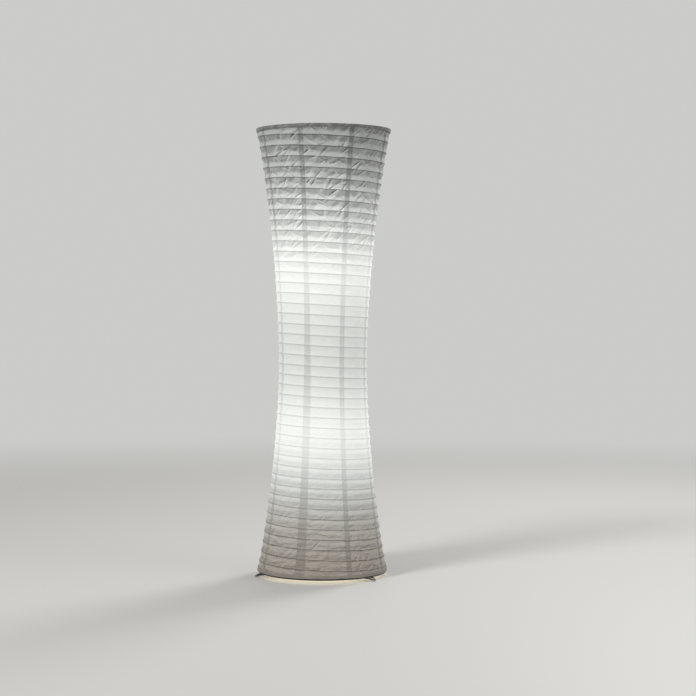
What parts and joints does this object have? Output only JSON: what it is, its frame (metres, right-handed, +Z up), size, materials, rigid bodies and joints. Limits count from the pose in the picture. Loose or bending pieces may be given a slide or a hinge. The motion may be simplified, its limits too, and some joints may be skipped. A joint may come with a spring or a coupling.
{
  "type": "paper lantern floor lamp",
  "caption": "Tall hourglass paper shade on a spiral rib wire, lit from inside, standing on a wire base with V-shaped feet; the shade folds up from its foot.",
  "frame": {"origin": "on the lamp's axis at the floor, under the middle of the base plate", "axes": "+Z up the lamp's axis, front faces -Y, +X to the right seen from the front"},
  "size_m": [0.363, 0.3665, 1.2],
  "materials": {
    "black_wire": "satin black enamel on steel wire and strip",
    "rubber": "matt black rubber",
    "white_plastic": "moulded white plastic",
    "brass": "bright pressed brass",
    "zinc_steel": "zinc-plated steel",
    "black_plastic": "black moulded plastic",
    "ceramic": "unglazed steatite",
    "lead_sleeve": "plastic-sheathed lead",
    "rib_steel": "drawn steel wire",
    "paper": "thin white mulberry paper, warm where it is lit from inside",
    "frosted_glass": "frosted glass",
    "bulb_cap_metal": "bright rolled aluminium",
    "bulb_insulator": "black vitreous insulator"
  },
  "bodies": {
    "frame": {"leg_left": "black_wire", "leg_right": "black_wire", "leg_rear": "black_wire", "foot_caps": "rubber", "base_ring": "black_wire", "base_plate": "black_wire", "base_nuts": "zinc_steel", "cord_grommet": "rubber", "terminal_block": "white_plastic", "terminal_screws": "brass", "rod_left_lower": "zinc_steel", "rod_right_lower": "zinc_steel", "rod_left_upper": "zinc_steel", "rod_right_upper": "zinc_steel", "rod_couplers": "zinc_steel", "lower_bridge": "black_wire", "upper_bridge": "black_wire", "bridge_screws": "zinc_steel", "top_bridge": "black_wire", "top_nuts": "zinc_steel", "lower_nipple": "zinc_steel", "lower_nipple_nut": "zinc_steel", "lower_holder_cap": "black_plastic", "lower_holder_body": "black_plastic", "lower_holder_insert": "ceramic", "lower_screw_shell": "brass", "lower_holder_contact": "brass", "upper_nipple": "zinc_steel", "upper_nipple_nut": "zinc_steel", "upper_holder_cap": "black_plastic", "upper_holder_body": "black_plastic", "upper_holder_insert": "ceramic", "upper_screw_shell": "brass", "upper_holder_contact": "brass", "lower_lead": "lead_sleeve", "upper_lead": "lead_sleeve", "lead_clips": "black_plastic", "spreader_hub": "black_wire", "spreader_arm_left": "black_wire", "spreader_arm_right": "black_wire", "spreader_arm_rear": "black_wire", "thumb_nut": "zinc_steel", "spiral_rib": "rib_steel", "top_ring": "rib_steel", "paper_gore_1": "paper", "paper_gore_2": "paper", "paper_gore_3": "paper", "paper_gore_4": "paper", "paper_gore_5": "paper", "paper_gore_6": "paper", "paper_gore_7": "paper", "paper_gore_8": "paper"},
    "shade_foot": {"bottom_ring": "rib_steel"},
    "lower_bulb_lift": {"lower_bulb_contact": "bulb_insulator"},
    "lower_bulb": {"lower_bulb_cap": "bulb_cap_metal", "lower_bulb_glass": "frosted_glass"},
    "upper_bulb_lift": {"upper_bulb_contact": "bulb_insulator"},
    "upper_bulb": {"upper_bulb_cap": "bulb_cap_metal", "upper_bulb_glass": "frosted_glass"}
  },
  "joints": [
    {"name": "shade_lift", "type": "slide", "parent": "frame", "child": "shade_foot", "axis": [0, 0, 1], "range_m": [0, 1.11], "deforming": ["paper_gore_1", "paper_gore_2", "paper_gore_3", "paper_gore_4", "paper_gore_5", "paper_gore_6", "paper_gore_7", "paper_gore_8", "spiral_rib"]},
    {"name": "lower_bulb_rise", "type": "slide", "parent": "frame", "child": "lower_bulb_lift", "axis": [0, 0, 1], "range_m": [0, 0.0255]},
    {"name": "lower_bulb_turn", "type": "hinge", "parent": "lower_bulb_lift", "child": "lower_bulb", "pos_m": [0, 0, 0.366], "axis": [0, 0, 1], "range_deg": [0, 2520]},
    {"name": "upper_bulb_rise", "type": "slide", "parent": "frame", "child": "upper_bulb_lift", "axis": [0, 0, 1], "range_m": [0, 0.0255]},
    {"name": "upper_bulb_turn", "type": "hinge", "parent": "upper_bulb_lift", "child": "upper_bulb", "pos_m": [0, 0, 0.79], "axis": [0, 0, 1], "range_deg": [0, 2520]}
  ],
  "couplings": [
    {"joint": "lower_bulb_rise", "follows": "lower_bulb_turn", "m_per_rad": 0.00057757},
    {"joint": "upper_bulb_rise", "follows": "upper_bulb_turn", "m_per_rad": 0.00057757}
  ]
}
